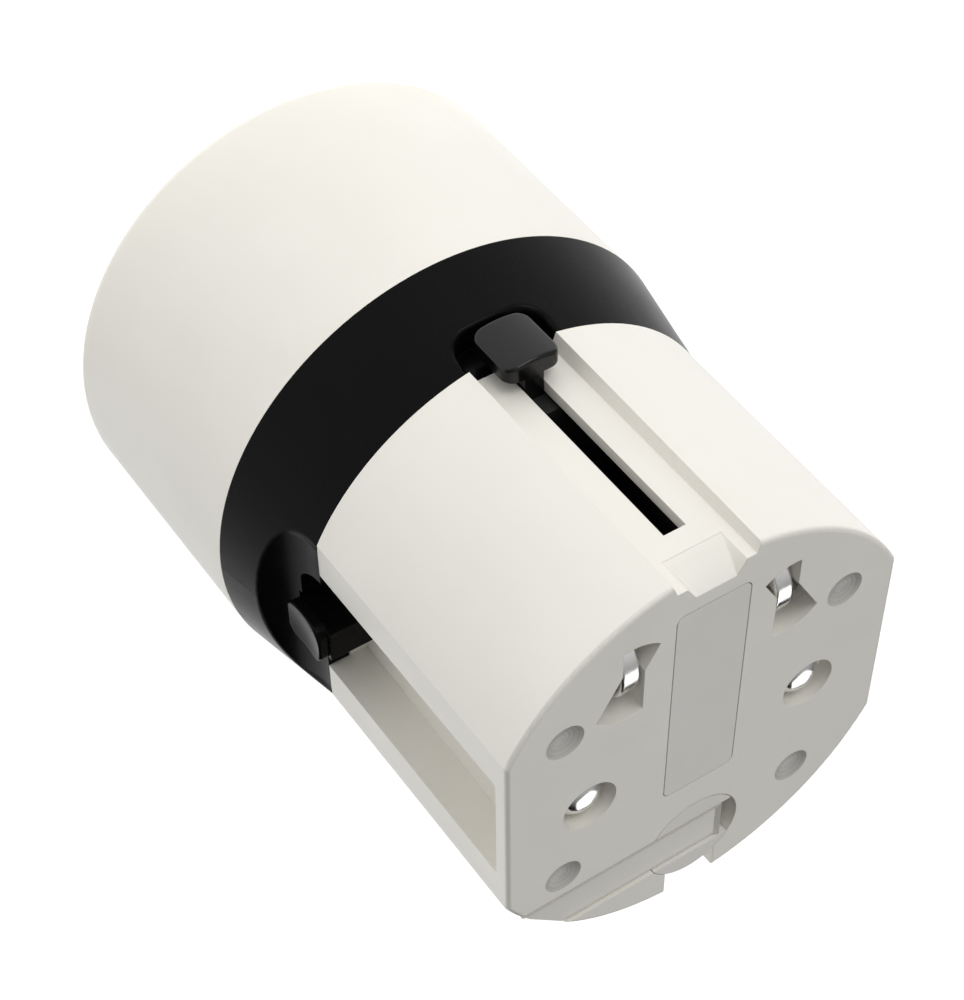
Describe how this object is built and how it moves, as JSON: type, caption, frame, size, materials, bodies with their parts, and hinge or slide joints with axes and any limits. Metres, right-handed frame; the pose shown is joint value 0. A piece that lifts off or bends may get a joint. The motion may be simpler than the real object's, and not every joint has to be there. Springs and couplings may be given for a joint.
{
  "type": "universal travel adapter",
  "caption": "Compact round travel plug adapter: sliding EU pins and tilting US/AU blades in a flat-sided base, fold-out earth bar, shuttered socket in the head.",
  "frame": {"origin": "centre of the socket end, on the surface the adapter stands on", "axes": "+Z out through the plug face, the way the pins slide out; -Y towards the US/AU slider channel; the EU sliders are on -X and +X"},
  "size_m": [0.0414, 0.0414, 0.0551],
  "materials": {
    "white_shell": "satin warm white moulded polycarbonate",
    "black_satin": "satin black moulded polycarbonate",
    "face_grey": "satin warm white moulded plastic",
    "inner_black": "black nylon",
    "socket_white": "satin warm white moulded polycarbonate",
    "shutter_grey": "grey acetal",
    "nickel": "bright nickel plate",
    "brass": "bare spring brass",
    "steel": "zinc-plated steel",
    "ceramic": "ceramic tube with plated caps",
    "board_green": "glass-fibre board with solder mask",
    "ferrite": "ferrite core and taped winding",
    "can_sleeve": "sleeved aluminium can"
  },
  "bodies": {
    "casing": {"head_shell": "white_shell", "collar_ring": "black_satin", "base_shell": "white_shell", "label_plate": "face_grey", "screw_covers": "face_grey", "case_screws": "steel", "guide_frame": "inner_black", "socket_plate": "socket_white", "shutter_spring": "steel", "contact_holder": "socket_white", "socket_contact_left": "brass", "socket_contact_right": "brass", "busbar_left": "brass", "busbar_right": "brass", "fuse": "ceramic", "fuse_clips": "brass", "usb_board": "board_green", "usb_port_left": "nickel", "usb_port_right": "nickel", "transformer": "ferrite", "capacitor": "can_sleeve", "earth_turret": "face_grey", "earth_hinge_pin": "steel"},
    "usau_slider": {"usau_knob": "black_satin", "usau_carrier": "inner_black"},
    "left_blade": {"usau_rotor_left": "inner_black", "usau_blade_left": "nickel"},
    "right_blade": {"usau_rotor_right": "inner_black", "usau_blade_right": "nickel"},
    "eu_slider": {"eu_carrier": "inner_black", "eu_wipers": "brass", "eu_knob_left": "black_satin", "eu_knob_right": "black_satin", "eu_pin_left": "nickel", "eu_pin_right": "nickel", "eu_sleeve_left": "inner_black", "eu_sleeve_right": "inner_black"},
    "earth_bar": {"earth_bar": "face_grey"},
    "shutter": {"shutter": "shutter_grey"}
  },
  "joints": [
    {"name": "usau_slide", "type": "slide", "parent": "casing", "child": "usau_slider", "axis": [0, 0, 1], "range_m": [0, 0.0161]},
    {"name": "left_blade_tilt", "type": "hinge", "parent": "usau_slider", "child": "left_blade", "pos_m": [-0.0066, -0.01133, 0.035], "axis": [0, 0, 1], "range_deg": [0, 30]},
    {"name": "right_blade_tilt", "type": "hinge", "parent": "usau_slider", "child": "right_blade", "pos_m": [0.0066, -0.01133, 0.035], "axis": [0, 0, -1], "range_deg": [0, 30]},
    {"name": "eu_slide", "type": "slide", "parent": "casing", "child": "eu_slider", "axis": [0, 0, 1], "range_m": [0, 0.0194]},
    {"name": "earth_bar_flip", "type": "hinge", "parent": "casing", "child": "earth_bar", "pos_m": [0.0003, 0.01225, 0.053], "axis": [0, -1, 0], "range_deg": [0, 90]},
    {"name": "shutter_turn", "type": "hinge", "parent": "casing", "child": "shutter", "pos_m": [0, 0, 0.0031], "axis": [0, 0, -1], "range_deg": [0, 43.6], "stiffness_Nm_per_rad": 0.005, "springref_deg": -11.46}
  ]
}
